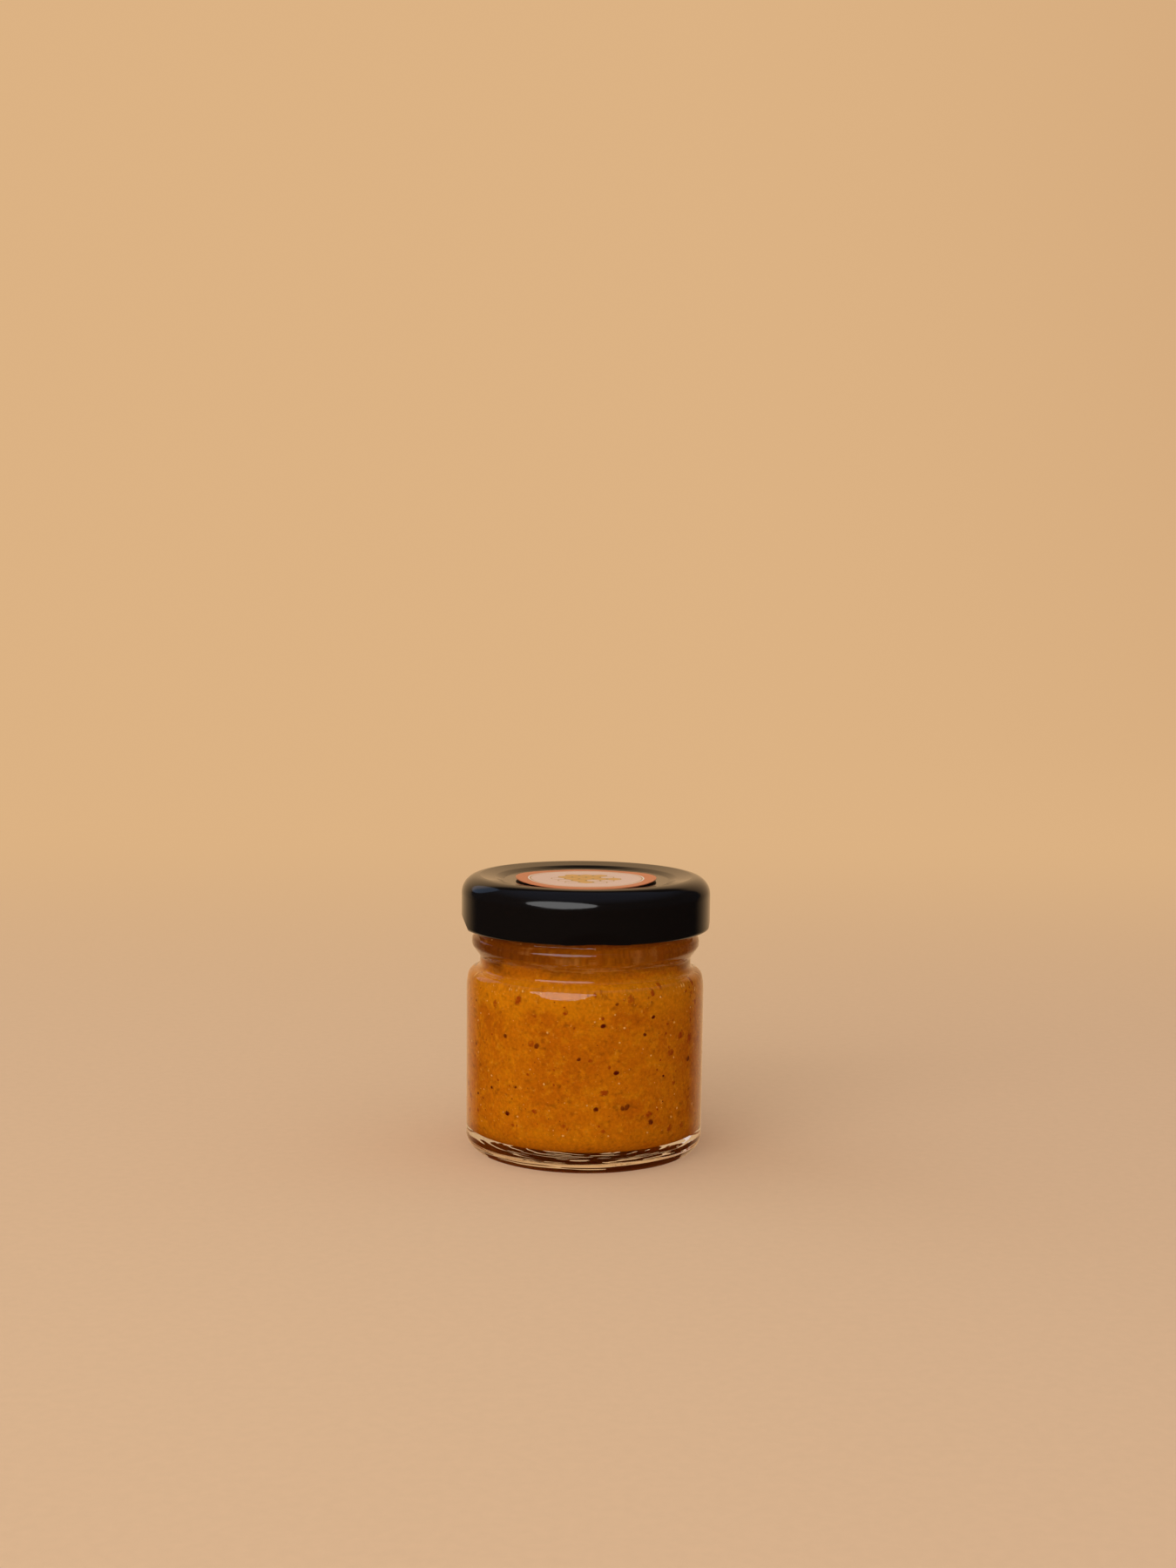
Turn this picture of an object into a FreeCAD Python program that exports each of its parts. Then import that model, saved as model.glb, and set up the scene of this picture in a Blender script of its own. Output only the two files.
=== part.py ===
"""A 50 ml glass jar of creamed honey with a black twist-off lid and a round paper sticker.

Millimetres, +Z up. The origin is the centre of the jar's foot, on the surface that it stands on, and
the jar's axis is Z. The front of the jar, where the sticker reads upright, is on the -Y side.

The driving dimensions are in the spreadsheet "size". All the others are expressions of them, so the
lid follows the glass finish that it fits, and the honey follows the cavity that it fills.
"""
import FreeCAD, Part
import math
import os

import Sketcher

SIZES = [
    # glass body
    ("jar_height", 50.4, "glass, from the foot to the sealing rim"),
    ("body_dia", 44.0, "outside of the straight wall, at the shoulder"),
    ("body_draft", 0.12, "how far the straight wall leans in, down to the heel"),
    ("glass_wall", 1.95, "straight wall"),
    ("floor_height", 3.5, "inside floor above the foot"),
    ("floor_radius", 4.6, "inside, from the wall into the floor"),
    ("heel_radius", 3.2, "outside, from the wall into the foot"),
    ("foot_width", 4.65, "from the wall in to the inner edge of the ring that the jar stands on"),
    ("foot_radius", 0.8, "round of that inner edge"),
    ("push_up", 1.2, "hollow under the jar"),
    ("push_up_slope", 3.2, "from the foot's inner edge in to the flat of the hollow"),
    ("push_up_radius", 4.0, "round into that flat"),
    # glass shoulder and neck
    ("shoulder_width", 1.8, "from the straight wall in to the finish"),
    ("shoulder_fall", 2.4, "height of the taper below the shoulder's edge"),
    ("shoulder_taper", 0.45, "how far that taper leans in"),
    ("shoulder_rise", 0.3, "from the shoulder's edge up to the neck"),
    ("shoulder_radius", 1.7, "round of the shoulder's edge"),
    ("taper_radius", 12.0, "round from the straight wall into the taper"),
    ("inner_drop", 1.8, "inner shoulder below the outer one"),
    ("inner_rise", 3.6, "height of the inner shoulder"),
    ("inner_radius", 3.0, "rounds of the inner shoulder"),
    ("neck_height", 2.25, "groove between shoulder and bead"),
    ("neck_depth", 0.65, "groove behind the finish wall"),
    ("neck_radius", 0.8, "rounds at both ends of the groove"),
    # glass finish
    ("finish_wall", 2.6, "glass between the bore and the finish wall"),
    ("finish_radius", 0.5, "round from the finish wall into the bead"),
    ("rim_radius", 0.9, "rounds of the sealing rim"),
    ("bead_gap", 0.95, "from the lid's lower edge down to the transfer bead"),
    ("bead_proud", 0.85, "bead in front of the finish wall"),
    ("bead_slope", 0.9, "upper slope of the bead"),
    ("bead_land", 1.3, "upright part of the bead"),
    ("bead_fall", 2.1, "lower slope of the bead"),
    ("bead_radius", 1.1, "rounds of the bead"),
    ("thread_proud", 0.9, "thread in front of the finish wall"),
    ("thread_width", 1.9, "height of a thread's section"),
    ("thread_lead", 14.0, "rise of a thread in a full turn"),
    ("thread_span", 104.0, "degrees that one thread covers"),
    ("thread_start", 135.0, "degrees from +X to the low end of a thread"),
    ("thread_count", 4, "threads on the glass, and lugs on the lid"),
    # honey
    ("head_space", 3.0, "from the rim down to the honey"),
    # lid
    ("tin_sheet", 0.25, "lacquered tinplate"),
    ("lid_height", 9.65, "over everything"),
    ("lid_room", 1.65, "between the threads and the inside of the skirt"),
    ("lid_radius", 3.3, "round from the top into the skirt"),
    ("crest_land", 0.1, "level strip between that round and the ring's inward slope"),
    ("ring_room", 0.8, "from the bore in to the inner edge of the raised ring"),
    ("ring_fall", 0.45, "from the crest down to that edge"),
    ("ring_radius", 0.9, "rounds from the ring into the panel"),
    ("panel_step", 1.4, "width of the slope from the ring down to the panel"),
    ("panel_depth", 0.95, "panel below the crest"),
    ("seal_depth", 0.55, "sealing ring between rim and sheet, at the crest"),
    ("seal_lap", 0.35, "sealing ring past each side of the glass rim"),
    ("curl_dia", 1.4, "rolled lower edge"),
    ("lug_grip", 0.6, "how far a lug reaches in under its thread"),
    ("lug_sheet", 0.9, "thickness of a lug's tongue"),
    ("lug_width", 17.0, "degrees that a lug's tongue covers"),
    ("lug_turn", 50.0, "degrees from a thread's low end to the lug under it"),
    ("lug_clearance", 0.1, "between a lug and its thread"),
    ("dent_width", 45.0, "degrees that the pressed wall behind a lug covers"),
    ("dent_height", 2.4, "flat that is pressed into the skirt at each lug"),
    ("dent_depth", 1.3, "depth of that flat at its foot"),
    # sticker
    ("label_margin", 2.4, "bare panel round the sticker"),
    ("label_sheet", 0.15, "thickness of the paper"),
    ("label_flat", 9.0, "strip along its middle that is stuck flat"),
    ("label_lift", 0.38, "how far its left and right ends stand up"),
]

doc = FreeCAD.newDocument("honey_jar")
sheet = doc.addObject("Spreadsheet::Sheet", "size")
for row, (word, number, note) in enumerate(SIZES, start=1):
    sheet.set(f"A{row}", word)
    sheet.set(f"B{row}", str(number))
    sheet.set(f"C{row}", note)
    sheet.setAlias(f"B{row}", word)
doc.recompute()

# Radii and heights that the pieces share.
BODY_R = "size.body_dia / 2"
FOOT_R = f"({BODY_R} - size.foot_width)"
FINISH_R = f"({BODY_R} - size.shoulder_width)"
BORE_R = f"({FINISH_R} - size.finish_wall)"
THREAD_R = f"({FINISH_R} + size.thread_proud)"
LID_R = f"({THREAD_R} + size.lid_room + size.tin_sheet)"
CREST_R = f"({LID_R} - size.lid_radius - size.crest_land)"
RING_R = f"({BORE_R} - size.ring_room)"
PANEL_R = f"({RING_R} - size.panel_step)"
CURL_R = "size.curl_dia / 2"

RIM = "size.jar_height"
LID_TOP = f"({RIM} + size.seal_depth + size.tin_sheet)"
LID_FOOT = f"({LID_TOP} - size.lid_height)"
LUG_TOP = f"({LID_FOOT} + size.curl_dia)"
PANEL_TOP = f"({LID_TOP} - size.panel_depth)"
CURL_MIDDLE = f"({LID_FOOT} + {CURL_R})"
BEAD_TOP = f"({LID_FOOT} - size.bead_gap)"
BEAD_UPPER = f"({BEAD_TOP} - size.bead_slope)"
BEAD_LOWER = f"({BEAD_UPPER} - size.bead_land)"
BEAD_FOOT = f"({BEAD_LOWER} - size.bead_fall)"
NECK_FOOT = f"({BEAD_FOOT} - size.neck_height)"
SHOULDER = f"({NECK_FOOT} - size.shoulder_rise)"

# Turn of the first lug about the axis, which brings it under the first thread.
LUG_ANGLE = "(size.thread_start + size.lug_turn)"


def origin_item(body, role):
    """One of the body's own origin planes or axes."""
    return next(item for item in body.Origin.OriginFeatures if item.Role == role)


def new_body(name):
    """A piece in the jar's own frame. Its label names its file."""
    body = doc.addObject("PartDesign::Body", name)
    body.Label = name
    body.Placement = FreeCAD.Placement()
    return body


def new_sketch(body, name, turn=None, role="XZ_Plane"):
    """A sketch on an origin plane, turned about the jar's axis by an expression in degrees."""
    sketch = body.newObject("Sketcher::SketchObject", name)
    sketch.AttachmentSupport = [(origin_item(body, role), "")]
    sketch.MapMode = "FlatFace"
    if turn:
        sketch.AttachmentOffset = FreeCAD.Placement(FreeCAD.Vector(), FreeCAD.Vector(0, 1, 0), 1)
        sketch.setExpression("AttachmentOffset.Rotation.Angle", turn)
    return sketch


def tie(sketch, kind, item, end, expression):
    """Bind a point's distance from the axis (DistanceX) or its height (DistanceY)."""
    spot = sketch.getPoint(item, end)
    drawn = spot.x if kind == "DistanceX" else spot.y
    index = sketch.addConstraint(Sketcher.Constraint(kind, -1, 1, item, end, drawn))
    sketch.setExpression(f"Constraints[{index}]", expression)


def tie_corner(sketch, item, end, across, up):
    """Bind both coordinates of a point. A plain "0" puts it on the axis or on the ground."""
    for kind, axis, expression in (("DistanceX", -2, across), ("DistanceY", -1, up)):
        if expression == "0":
            sketch.addConstraint(Sketcher.Constraint("PointOnObject", item, end, axis))
        else:
            tie(sketch, kind, item, end, expression)


def tie_radius(sketch, item, expression):
    index = sketch.addConstraint(Sketcher.Constraint("Radius", item, sketch.Geometry[item].Radius))
    sketch.setExpression(f"Constraints[{index}]", expression)


def join(sketch, *pairs):
    """Join an end of one line or arc to an end of another, for each (item, end, item, end)."""
    for pair in pairs:
        sketch.addConstraint(Sketcher.Constraint("Coincident", *pair))


def add_line(sketch, start, end):
    return sketch.addGeometry(Part.LineSegment(start, end), False)


def add_arc(sketch, middle, radius, first, last):
    circle = Part.Circle(middle, FreeCAD.Vector(0, 0, 1), radius)
    return sketch.addGeometry(Part.ArcOfCircle(circle, first, last), False)


def outline(body, name, corners, turn=None):
    """A closed outline with a straight line from each named corner to the next.

    A corner is a pair of expressions: its distance from the axis and its height.
    """
    sketch = new_sketch(body, name, turn)
    count = len(corners)
    rough = [FreeCAD.Vector(math.cos(math.tau * i / count), math.sin(math.tau * i / count), 0)
             for i in range(count)]
    for i in range(count):
        add_line(sketch, rough[i], rough[(i + 1) % count])
    join(sketch, *((i, 2, (i + 1) % count, 1) for i in range(count)))
    for i, (across, up) in enumerate(corners.values()):
        tie_corner(sketch, i, 1, across, up)
    doc.recompute()
    return sketch


def revolve(body, sketch, name, kind="PartDesign::Revolution", angle="360"):
    """A sketch turned about the jar's axis, to both sides of its plane. A Groove is cut away."""
    turned = body.newObject(kind, name)
    turned.Profile = sketch
    turned.ReferenceAxis = (sketch, ["V_Axis"])
    turned.setExpression("Angle", angle)
    turned.Midplane = True
    doc.recompute()
    return turned


def round_corners(body, sketch, corners, names, radius):
    """Fillet the circles that the named corners of a revolved outline swept."""
    solid = body.Tip
    edges = []
    for name in names:
        corner = sketch.Geometry[list(corners).index(name)].StartPoint
        for number, edge in enumerate(solid.Shape.Edges, start=1):
            curve = edge.Curve
            if (isinstance(curve, Part.Circle) and abs(curve.Radius - corner.x) < 1e-4
                    and abs(curve.Center.z - corner.y) < 1e-4):
                edges.append(f"Edge{number}")
    fillet = body.newObject("PartDesign::Fillet", f"{sketch.Name}_{radius}")
    fillet.Base = (solid, edges)
    fillet.setExpression("Radius", f"size.{radius}")
    doc.recompute()


def repeat_round(body, features, name):
    """The features repeated about the jar's axis, once for each thread."""
    ring = body.newObject("PartDesign::PolarPattern", name)
    ring.Originals = features
    ring.Axis = (origin_item(body, "Z_Axis"), [""])
    ring.Angle = 360
    ring.setExpression("Occurrences", "size.thread_count")
    body.Tip = ring
    doc.recompute()


# The jar's outside: hollow foot, heel, straight wall, shoulder, neck groove, transfer bead, finish.
JAR_OUTSIDE = {
    "hollow_middle": ("0", "size.push_up"),
    "hollow_edge": (f"{FOOT_R} - size.push_up_slope", "size.push_up"),
    "foot_edge": (FOOT_R, "0"),
    "heel": (f"{BODY_R} - size.body_draft", "0"),
    "wall_top": (BODY_R, f"{SHOULDER} - size.shoulder_fall"),
    "shoulder": (f"{BODY_R} - size.shoulder_taper", SHOULDER),
    "neck_low": (f"{FINISH_R} - size.neck_depth", NECK_FOOT),
    "neck_high": (f"{FINISH_R} - size.neck_depth", BEAD_FOOT),
    "bead_low": (f"{FINISH_R} + size.bead_proud", BEAD_LOWER),
    "bead_high": (f"{FINISH_R} + size.bead_proud", BEAD_UPPER),
    "finish_low": (FINISH_R, BEAD_TOP),
    "rim": (FINISH_R, RIM),
    "rim_middle": ("0", RIM),
}

# The cavity up to its bore. The glass has it open to the mouth, and the honey up to its level.
CAVITY = {
    "floor_middle": ("0", "size.floor_height"),
    "floor_edge": (f"{BODY_R} - size.glass_wall", "size.floor_height"),
    "inner_shoulder": (f"{BODY_R} - size.glass_wall", f"{SHOULDER} - size.inner_drop"),
    "bore_low": (BORE_R, f"{SHOULDER} - size.inner_drop + size.inner_rise"),
}
CAVITY_OPEN = {**CAVITY, "mouth": (BORE_R, RIM), "mouth_middle": ("0", RIM)}
LEVEL = f"{RIM} - size.head_space"
FILLING = {**CAVITY, "level": (BORE_R, LEVEL), "level_middle": ("0", LEVEL)}


# A thread's section: its root sunk in the wall, its crest face, and the round on that.
THREAD_ROOT = "size.thread_width * 1.1"
THREAD_CREST = "size.thread_width * 0.62"
THREAD_ROUND = "size.thread_width * 0.34"


def thread_height(share):
    """How proud a thread stands, as a share of its full height, at a share of its length.

    It stands full along most of its length and sinks just into the finish wall at both ends.
    """
    sink, steepness, ease = 0.12, 2.6, 1.2
    return min(1, steepness * math.sin(math.pi * share) ** ease) - sink


def thread_section(body, step, steps):
    """One section of a thread, on a half-plane through the axis, with a level underside."""
    share = step / steps
    turned = f"size.thread_span * {share:.4f}"
    root = f"{FINISH_R} - size.thread_width / 2"
    flank = f"{FINISH_R} + size.thread_proud * ({thread_height(share):.4f} - 0.5)"
    low = f"({LUG_TOP} + size.lug_clearance + size.thread_lead * ({turned} - size.lug_turn) / 360)"
    sketch = new_sketch(body, f"thread_section_{step}", f"size.thread_start + {turned}")

    half_turn = 1.15
    middle = FreeCAD.Vector(sheet.body_dia / 2, sheet.jar_height, 0)
    add_arc(sketch, middle, sheet.thread_width * 0.34, -half_turn, half_turn)
    low_end, high_end = sketch.getPoint(0, 1), sketch.getPoint(0, 2)
    inward = FreeCAD.Vector(-sheet.thread_width, 0, 0)
    add_line(sketch, low_end + inward, low_end)
    add_line(sketch, high_end, high_end + inward)
    add_line(sketch, high_end + inward, low_end + inward)
    join(sketch, (1, 2, 0, 1), (0, 2, 2, 1), (2, 2, 3, 1), (3, 2, 1, 1))
    tie_corner(sketch, 1, 1, root, low)
    tie_corner(sketch, 0, 1, flank, low)
    tie_corner(sketch, 0, 2, flank, f"{low} + {THREAD_CREST}")
    tie_corner(sketch, 3, 1, root, f"{low} + {THREAD_ROOT}")
    tie_radius(sketch, 0, THREAD_ROUND)
    return sketch


def make_glass():
    body = new_body("glass_jar")
    outside = outline(body, "jar_outside", JAR_OUTSIDE)
    revolve(body, outside, "jar_blank")
    for names, radius in (
            (["heel"], "heel_radius"),
            (["hollow_edge"], "push_up_radius"),
            (["foot_edge"], "foot_radius"),
            (["wall_top"], "taper_radius"),
            (["shoulder"], "shoulder_radius"),
            (["neck_low", "neck_high"], "neck_radius"),
            (["bead_low", "bead_high"], "bead_radius"),
            (["finish_low"], "finish_radius"),
            (["rim"], "rim_radius")):
        round_corners(body, outside, JAR_OUTSIDE, names, radius)

    cavity = outline(body, "cavity", CAVITY_OPEN)
    revolve(body, cavity, "cavity_cut", "PartDesign::Groove")
    round_corners(body, cavity, CAVITY_OPEN, ["floor_edge"], "floor_radius")
    round_corners(body, cavity, CAVITY_OPEN, ["inner_shoulder", "bore_low"], "inner_radius")
    round_corners(body, cavity, CAVITY_OPEN, ["mouth"], "rim_radius")

    steps = 8
    sections = [thread_section(body, step, steps) for step in range(steps + 1)]
    doc.recompute()
    thread = body.newObject("PartDesign::AdditiveLoft", "thread")
    thread.Profile = sections[0]
    thread.Sections = sections[1:]
    doc.recompute()
    repeat_round(body, [thread], "threads")
    return body


def make_honey():
    body = new_body("honey")
    filling = outline(body, "filling", FILLING)
    revolve(body, filling, "honey_fill")
    round_corners(body, filling, FILLING, ["floor_edge"], "floor_radius")
    round_corners(body, filling, FILLING, ["inner_shoulder", "bore_low"], "inner_radius")
    return body


# The lid's outside, down to the middle of its rolled edge.
LID_OUTSIDE = {
    "panel_middle": ("0", PANEL_TOP),
    "panel_edge": (PANEL_R, PANEL_TOP),
    "ring_edge": (RING_R, f"{LID_TOP} - size.ring_fall"),
    "crest": (CREST_R, LID_TOP),
    "skirt_top": (LID_R, LID_TOP),
    "skirt_end": (LID_R, CURL_MIDDLE),
    "inside_middle": ("0", CURL_MIDDLE),
}

# The sealing ring in the lid's channel: level where it meets the rim, and sunk into the sheet above.
SEAL = {
    "inner_low": (f"{BORE_R} - size.seal_lap", RIM),
    "outer_low": (f"{FINISH_R} + size.seal_lap", RIM),
    "outer_high": (f"{FINISH_R} + size.seal_lap", f"{LID_TOP} - size.tin_sheet * 0.7"),
    "inner_high": (f"{BORE_R} - size.seal_lap", f"{LID_TOP} - size.ring_fall - size.tin_sheet / 2"),
}

# At a lug the rolled edge is pressed flat: a tongue that hooks in, and a filled wall behind it.
LUG_TONGUE = {
    "tip_low": (f"{THREAD_R} - size.lug_grip + size.lug_sheet / 4", f"{LUG_TOP} - size.lug_sheet"),
    "root_low": (f"{LID_R} - size.curl_dia * 0.8", f"{LUG_TOP} - size.lug_sheet"),
    "root_high": (f"{LID_R} - size.curl_dia * 0.8", LUG_TOP),
    "tip_high": (f"{THREAD_R} - size.lug_grip", LUG_TOP),
}
LUG_WALL = {
    "wall_low": (f"{LID_R} - size.dent_depth - size.tin_sheet", f"{LID_FOOT} + size.curl_dia * 0.21"),
    "curl_low": (f"{LID_R} - {CURL_R}", f"{LID_FOOT} + size.tin_sheet / 2"),
    "curl_low_outer": (f"{LID_R} - size.curl_dia * 0.21", f"{LID_FOOT} + size.curl_dia * 0.21"),
    "skirt_low": (f"{LID_R} - size.tin_sheet / 2", CURL_MIDDLE),
    "skirt_high": (f"{LID_R} - size.tin_sheet / 2", f"{LID_FOOT} + size.dent_height + {CURL_R}"),
    "wall_middle": (f"{LID_R} - size.dent_depth", LUG_TOP),
    "wall_inner": (f"{LID_R} - size.dent_depth - size.tin_sheet", CURL_MIDDLE),
}
# The flat that the press leaves outside, as the wedge that it takes off the skirt.
DENT = {
    "start": (LID_R, f"{LID_FOOT} + size.dent_height"),
    "foot": (f"{LID_R} - size.dent_depth", f"{LID_FOOT} - size.tin_sheet"),
    "outer_low": (f"{LID_R} + size.curl_dia", f"{LID_FOOT} - size.tin_sheet"),
    "outer_high": (f"{LID_R} + size.curl_dia", f"{LID_FOOT} + size.dent_height"),
}


def curl_sketch(body):
    """The rolled edge: three quarters of a ring of sheet, from the skirt's end down, in and up."""
    sketch = new_sketch(body, "curl")
    middle = FreeCAD.Vector(sheet.body_dia / 2, sheet.jar_height, 0)
    across, up = FreeCAD.Vector(1, 0, 0), FreeCAD.Vector(0, 1, 0)
    outer = sheet.curl_dia / 2
    inner = outer - sheet.tin_sheet
    add_arc(sketch, middle, outer, math.pi / 2, math.tau)
    add_arc(sketch, middle, inner, math.pi / 2, math.tau)
    add_line(sketch, middle + up * outer, middle + up * inner)
    add_line(sketch, middle + across * outer, middle + across * inner)
    join(sketch, (0, 3, 1, 3), (0, 1, 2, 1), (1, 1, 2, 2), (0, 2, 3, 1), (1, 2, 3, 2))
    sketch.addConstraint(Sketcher.Constraint("Vertical", 2))
    sketch.addConstraint(Sketcher.Constraint("Horizontal", 3))
    sketch.addConstraint(Sketcher.Constraint("Vertical", 0, 1, 0, 3))
    sketch.addConstraint(Sketcher.Constraint("Horizontal", 0, 2, 0, 3))
    tie_corner(sketch, 0, 3, f"{LID_R} - {CURL_R}", CURL_MIDDLE)
    tie_radius(sketch, 0, CURL_R)
    tie_radius(sketch, 1, f"{CURL_R} - size.tin_sheet")
    doc.recompute()
    return sketch


def make_lid():
    body = new_body("lid")
    outside = outline(body, "lid_outside", LID_OUTSIDE)
    revolve(body, outside, "lid_blank")
    round_corners(body, outside, LID_OUTSIDE, ["skirt_top"], "lid_radius")
    round_corners(body, outside, LID_OUTSIDE, ["ring_edge", "panel_edge"], "ring_radius")
    blank = body.Tip
    faces = blank.Shape.Faces
    lowest = min(range(len(faces)), key=lambda number: faces[number].CenterOfMass.z)
    tinplate = body.newObject("PartDesign::Thickness", "tinplate")
    tinplate.Base = (blank, [f"Face{lowest + 1}"])
    tinplate.setExpression("Value", "size.tin_sheet")
    tinplate.Reversed = True
    doc.recompute()
    revolve(body, curl_sketch(body), "rolled_edge")
    revolve(body, outline(body, "seal", SEAL), "sealing_ring")

    wall = revolve(body, outline(body, "lug_wall", LUG_WALL, LUG_ANGLE), "pressed_wall",
                   angle="size.dent_width")
    tongue = revolve(body, outline(body, "lug_tongue", LUG_TONGUE, LUG_ANGLE), "tongue",
                     angle="size.lug_width")
    dent = body.newObject("PartDesign::Pocket", "dent")
    dent.Profile = outline(body, "dent_wedge", DENT, LUG_ANGLE)
    dent.SideType = "Symmetric"
    dent.setExpression("Length", LID_R)
    doc.recompute()
    repeat_round(body, [wall, tongue, dent], "lugs")
    return body


def make_label():
    """The sticker: stuck flat along its middle, with its left and right ends curling up."""
    body = new_body("lid_label")
    label_r = f"({PANEL_R} - size.label_margin)"
    bend_r = f"(({label_r} - size.label_flat / 2) ^ 2 / (2 * size.label_lift))"

    bend = new_sketch(body, "label_bend")
    reach = sheet.label_flat / 2
    drawn_r = 10 * sheet.label_flat
    down, swing = -math.pi / 2, 0.1
    for radius in (drawn_r, drawn_r - sheet.label_sheet):
        for side, first in ((1, down), (-1, down - swing)):
            middle = FreeCAD.Vector(side * reach, sheet.jar_height + drawn_r, 0)
            add_arc(bend, middle, radius, first, first + swing)
    right_under, left_under, right_over, left_over = range(4)
    for item, end, other, other_end in ((left_under, 2, right_under, 1), (left_over, 2, right_over, 1),
                                        (right_under, 2, right_over, 2), (left_under, 1, left_over, 1)):
        line = add_line(bend, bend.getPoint(item, end), bend.getPoint(other, other_end))
        join(bend, (item, end, line, 1), (other, other_end, line, 2))
    join(bend, (right_under, 3, right_over, 3), (left_under, 3, left_over, 3))
    for item, end in ((right_under, 1), (left_under, 2), (right_over, 1), (left_over, 2)):
        bend.addConstraint(Sketcher.Constraint("Vertical", item, end, item, 3))
    for pair in ((right_under, 3, left_under, 3), (right_under, 2, left_under, 1),
                 (right_over, 2, left_over, 1)):
        bend.addConstraint(Sketcher.Constraint("Symmetric", *pair, -2))
    bend.addConstraint(Sketcher.Constraint("Vertical", right_under, 2, right_over, 2))
    tie_corner(bend, right_under, 3, "size.label_flat / 2", f"{PANEL_TOP} + {bend_r}")
    tie(bend, "DistanceX", right_under, 2, f"{label_r} * 1.1")
    tie_radius(bend, right_under, bend_r)
    tie_radius(bend, right_over, f"{bend_r} - size.label_sheet")
    strip = body.newObject("PartDesign::Pad", "bent_strip")
    strip.Profile = bend
    strip.SideType = "Symmetric"
    strip.setExpression("Length", f"{label_r} * 2.2")
    doc.recompute()

    waste = new_sketch(body, "label_waste", role="XY_Plane")
    for radius, expression in ((reach, label_r), (2 * reach, f"{label_r} * 2")):
        ring = waste.addGeometry(Part.Circle(FreeCAD.Vector(), FreeCAD.Vector(0, 0, 1), radius), False)
        join(waste, (ring, 3, -1, 1))
        tie_radius(waste, ring, expression)
    edge = body.newObject("PartDesign::Pocket", "punched_edge")
    edge.Profile = waste
    edge.SideType = "Symmetric"
    edge.setExpression("Length", f"{LID_TOP} * 2.2")
    doc.recompute()
    return body


pieces = [make_glass(), make_honey(), make_lid(), make_label()]

failed = [item.Name for item in doc.Objects if "Invalid" in item.State or "Error" in item.State]
failed += [piece.Label for piece in pieces if piece.Shape.isNull() or not piece.Shape.isValid()]
if failed:
    raise RuntimeError(f"these did not build: {failed}")

os.makedirs("parts", exist_ok=True)
for piece in pieces:
    piece.Shape.exportStep(f"parts/{piece.Label}.step")
    print(f"{piece.Label}: {piece.Shape.Volume / 1000:.2f} cubic centimetres")
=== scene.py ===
"""The looks of a 50 ml jar of creamed honey: clear glass, black enamelled lid and a round paper sticker.

Metres, +Z up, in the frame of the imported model. The jar stands on z = 0 and its axis is Z; the front of
the jar, where the sticker reads upright, faces -Y.
"""
import math
import random

import bpy
from mathutils import Matrix, Vector
from mathutils.bvhtree import BVHTree


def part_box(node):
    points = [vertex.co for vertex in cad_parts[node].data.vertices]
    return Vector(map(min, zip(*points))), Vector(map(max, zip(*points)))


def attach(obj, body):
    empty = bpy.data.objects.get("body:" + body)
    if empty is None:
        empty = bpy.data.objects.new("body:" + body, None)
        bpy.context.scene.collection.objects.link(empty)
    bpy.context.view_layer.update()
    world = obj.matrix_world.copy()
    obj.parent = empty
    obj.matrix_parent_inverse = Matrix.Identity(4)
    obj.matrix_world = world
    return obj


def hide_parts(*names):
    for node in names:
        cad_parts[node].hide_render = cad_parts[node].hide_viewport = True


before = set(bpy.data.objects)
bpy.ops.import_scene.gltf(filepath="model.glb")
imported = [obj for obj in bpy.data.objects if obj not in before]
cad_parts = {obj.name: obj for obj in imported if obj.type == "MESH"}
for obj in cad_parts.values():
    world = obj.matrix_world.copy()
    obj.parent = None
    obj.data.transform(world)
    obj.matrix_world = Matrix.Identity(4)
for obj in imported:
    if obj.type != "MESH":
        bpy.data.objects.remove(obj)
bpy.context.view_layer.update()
MM = 0.001

# ---------------------------------------------------------------------------------------------------
# Honey. A spooned fill of creamed honey, opaque and fine grained, that wets the glass everywhere.
# It reaches a little way into the wall, so that no film of air shows between the two.
# ---------------------------------------------------------------------------------------------------


def new_material(name):
    """A material with no nodes yet, and its node tree."""
    material = bpy.data.materials.new(name)
    material.use_nodes = True
    tree = material.node_tree
    tree.nodes.clear()
    return material, tree


def add_node(tree, kind, settings=None, **inputs):
    """A node with its inputs set by name, each from a plain value or from another node's output."""
    made = tree.nodes.new(kind)
    for name, value in (settings or {}).items():
        setattr(made, name, value)
    for name, value in inputs.items():
        socket = made.inputs[int(name[1:])] if name[0] == "_" else made.inputs[name.replace("_", " ")]
        if isinstance(value, bpy.types.NodeSocket):
            tree.links.new(value, socket)
        else:
            socket.default_value = value
    return made


def show_shader(tree, shader, kind="ShaderNodeOutputMaterial"):
    """Lead a shader to the surface of a material, or of the world."""
    output = tree.nodes.new(kind)
    tree.links.new(shader.outputs[0], output.inputs["Surface"])


def calculate(tree, operation, *values):
    """The result of a Math node."""
    inputs = {f"_{i}": value for i, value in enumerate(values)}
    return add_node(tree, "ShaderNodeMath", {"operation": operation}, **inputs).outputs[0]


def blend_colours(tree, share, first, second, kind="MIX"):
    """The second colour laid over the first by a share from 0 to 1."""
    made = add_node(tree, "ShaderNodeMix", {"data_type": "RGBA", "blend_type": kind},
                    _0=share, _6=first, _7=second)
    return made.outputs[2]


def lay_on(tree, mask, strength, first, second):
    """The second colour laid over the first where the mask is 1, no stronger than strength."""
    return blend_colours(tree, calculate(tree, "MULTIPLY", mask, strength), first, second)


def step_between(tree, value, low, high):
    """0 below low and 1 above high, with an eased slope between them."""
    return add_node(tree, "ShaderNodeMapRange", {"interpolation_type": "SMOOTHSTEP"},
                    Value=value, From_Min=low, From_Max=high).outputs[0]


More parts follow.
